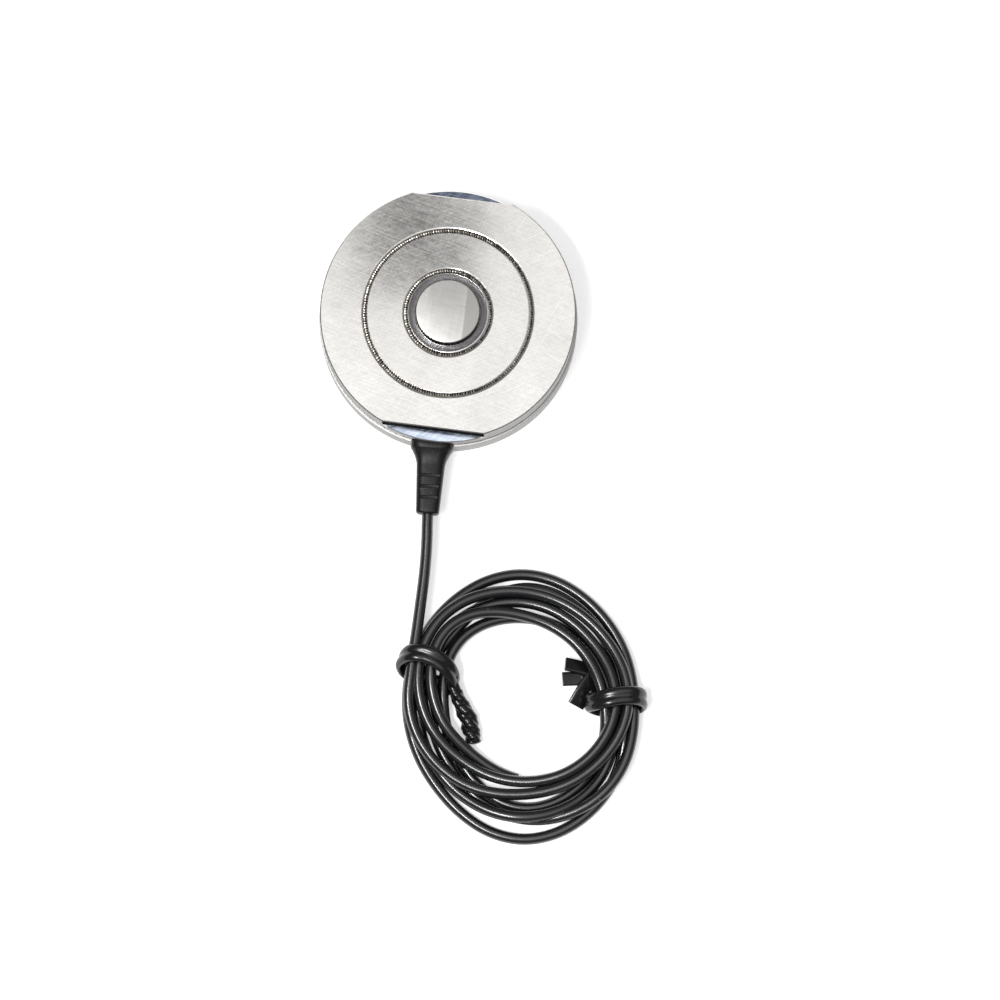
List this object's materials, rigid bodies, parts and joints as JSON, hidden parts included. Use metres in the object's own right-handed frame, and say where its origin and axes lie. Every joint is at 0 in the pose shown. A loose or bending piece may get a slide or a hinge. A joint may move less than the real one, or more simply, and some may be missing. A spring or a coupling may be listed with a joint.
{
  "type": "compression load cell",
  "caption": "Flat round stainless compression load cell with a crowned load button, a side cable with a moulded strain relief, and the cable coiled beside it in ribbon ties.",
  "frame": {"origin": "middle of the underside of the body", "axes": "+Z along the load axis towards the button, -Y along the cable as it leaves the body"},
  "size_m": [0.046, 0.0784, 0.0099],
  "materials": {
    "stainless": "ground and brushed, fine random scratches",
    "weld_steel": "rippled weld bead, as welded",
    "boot_rubber": "moulded, matte",
    "cable_jacket": "satin charcoal jacket",
    "tie_ribbon": "glossy black ribbon with a wire core",
    "board_laminate": "solder mask",
    "spacer_film": "insulating film",
    "chip_package": "moulded package",
    "resistor_body": "chip resistor",
    "gauge_foil": "foil on amber film",
    "fine_wire": "enamelled wire",
    "ferrule_metal": "crimped ring",
    "insulation_red": "core insulation",
    "insulation_black": "core insulation",
    "insulation_green": "core insulation",
    "insulation_white": "core insulation"
  },
  "bodies": {
    "root": {"housing": "stainless", "base_cover": "stainless", "base_weld": "weld_steel", "sensing_element": "stainless", "top_cover": "stainless", "cover_weld": "weld_steel", "load_button": "stainless", "button_weld": "weld_steel", "board_spacer": "spacer_film", "circuit_board": "board_laminate", "signal_chip": "chip_package", "cable_ferrule": "ferrule_metal", "strain_relief": "boot_rubber", "cable_lead": "cable_jacket", "cable_coil": "cable_jacket", "tie_left": "tie_ribbon", "tie_right": "tie_ribbon", "chip_resistor_1": "resistor_body", "strain_gauge_1": "gauge_foil", "gauge_lead_1": "fine_wire", "chip_resistor_2": "resistor_body", "strain_gauge_2": "gauge_foil", "gauge_lead_2": "fine_wire", "chip_resistor_3": "resistor_body", "strain_gauge_3": "gauge_foil", "gauge_lead_3": "fine_wire", "chip_resistor_4": "resistor_body", "strain_gauge_4": "gauge_foil", "gauge_lead_4": "fine_wire", "conductor_red": "insulation_red", "conductor_black": "insulation_black", "conductor_green": "insulation_green", "conductor_white": "insulation_white"}
  },
  "joints": []
}
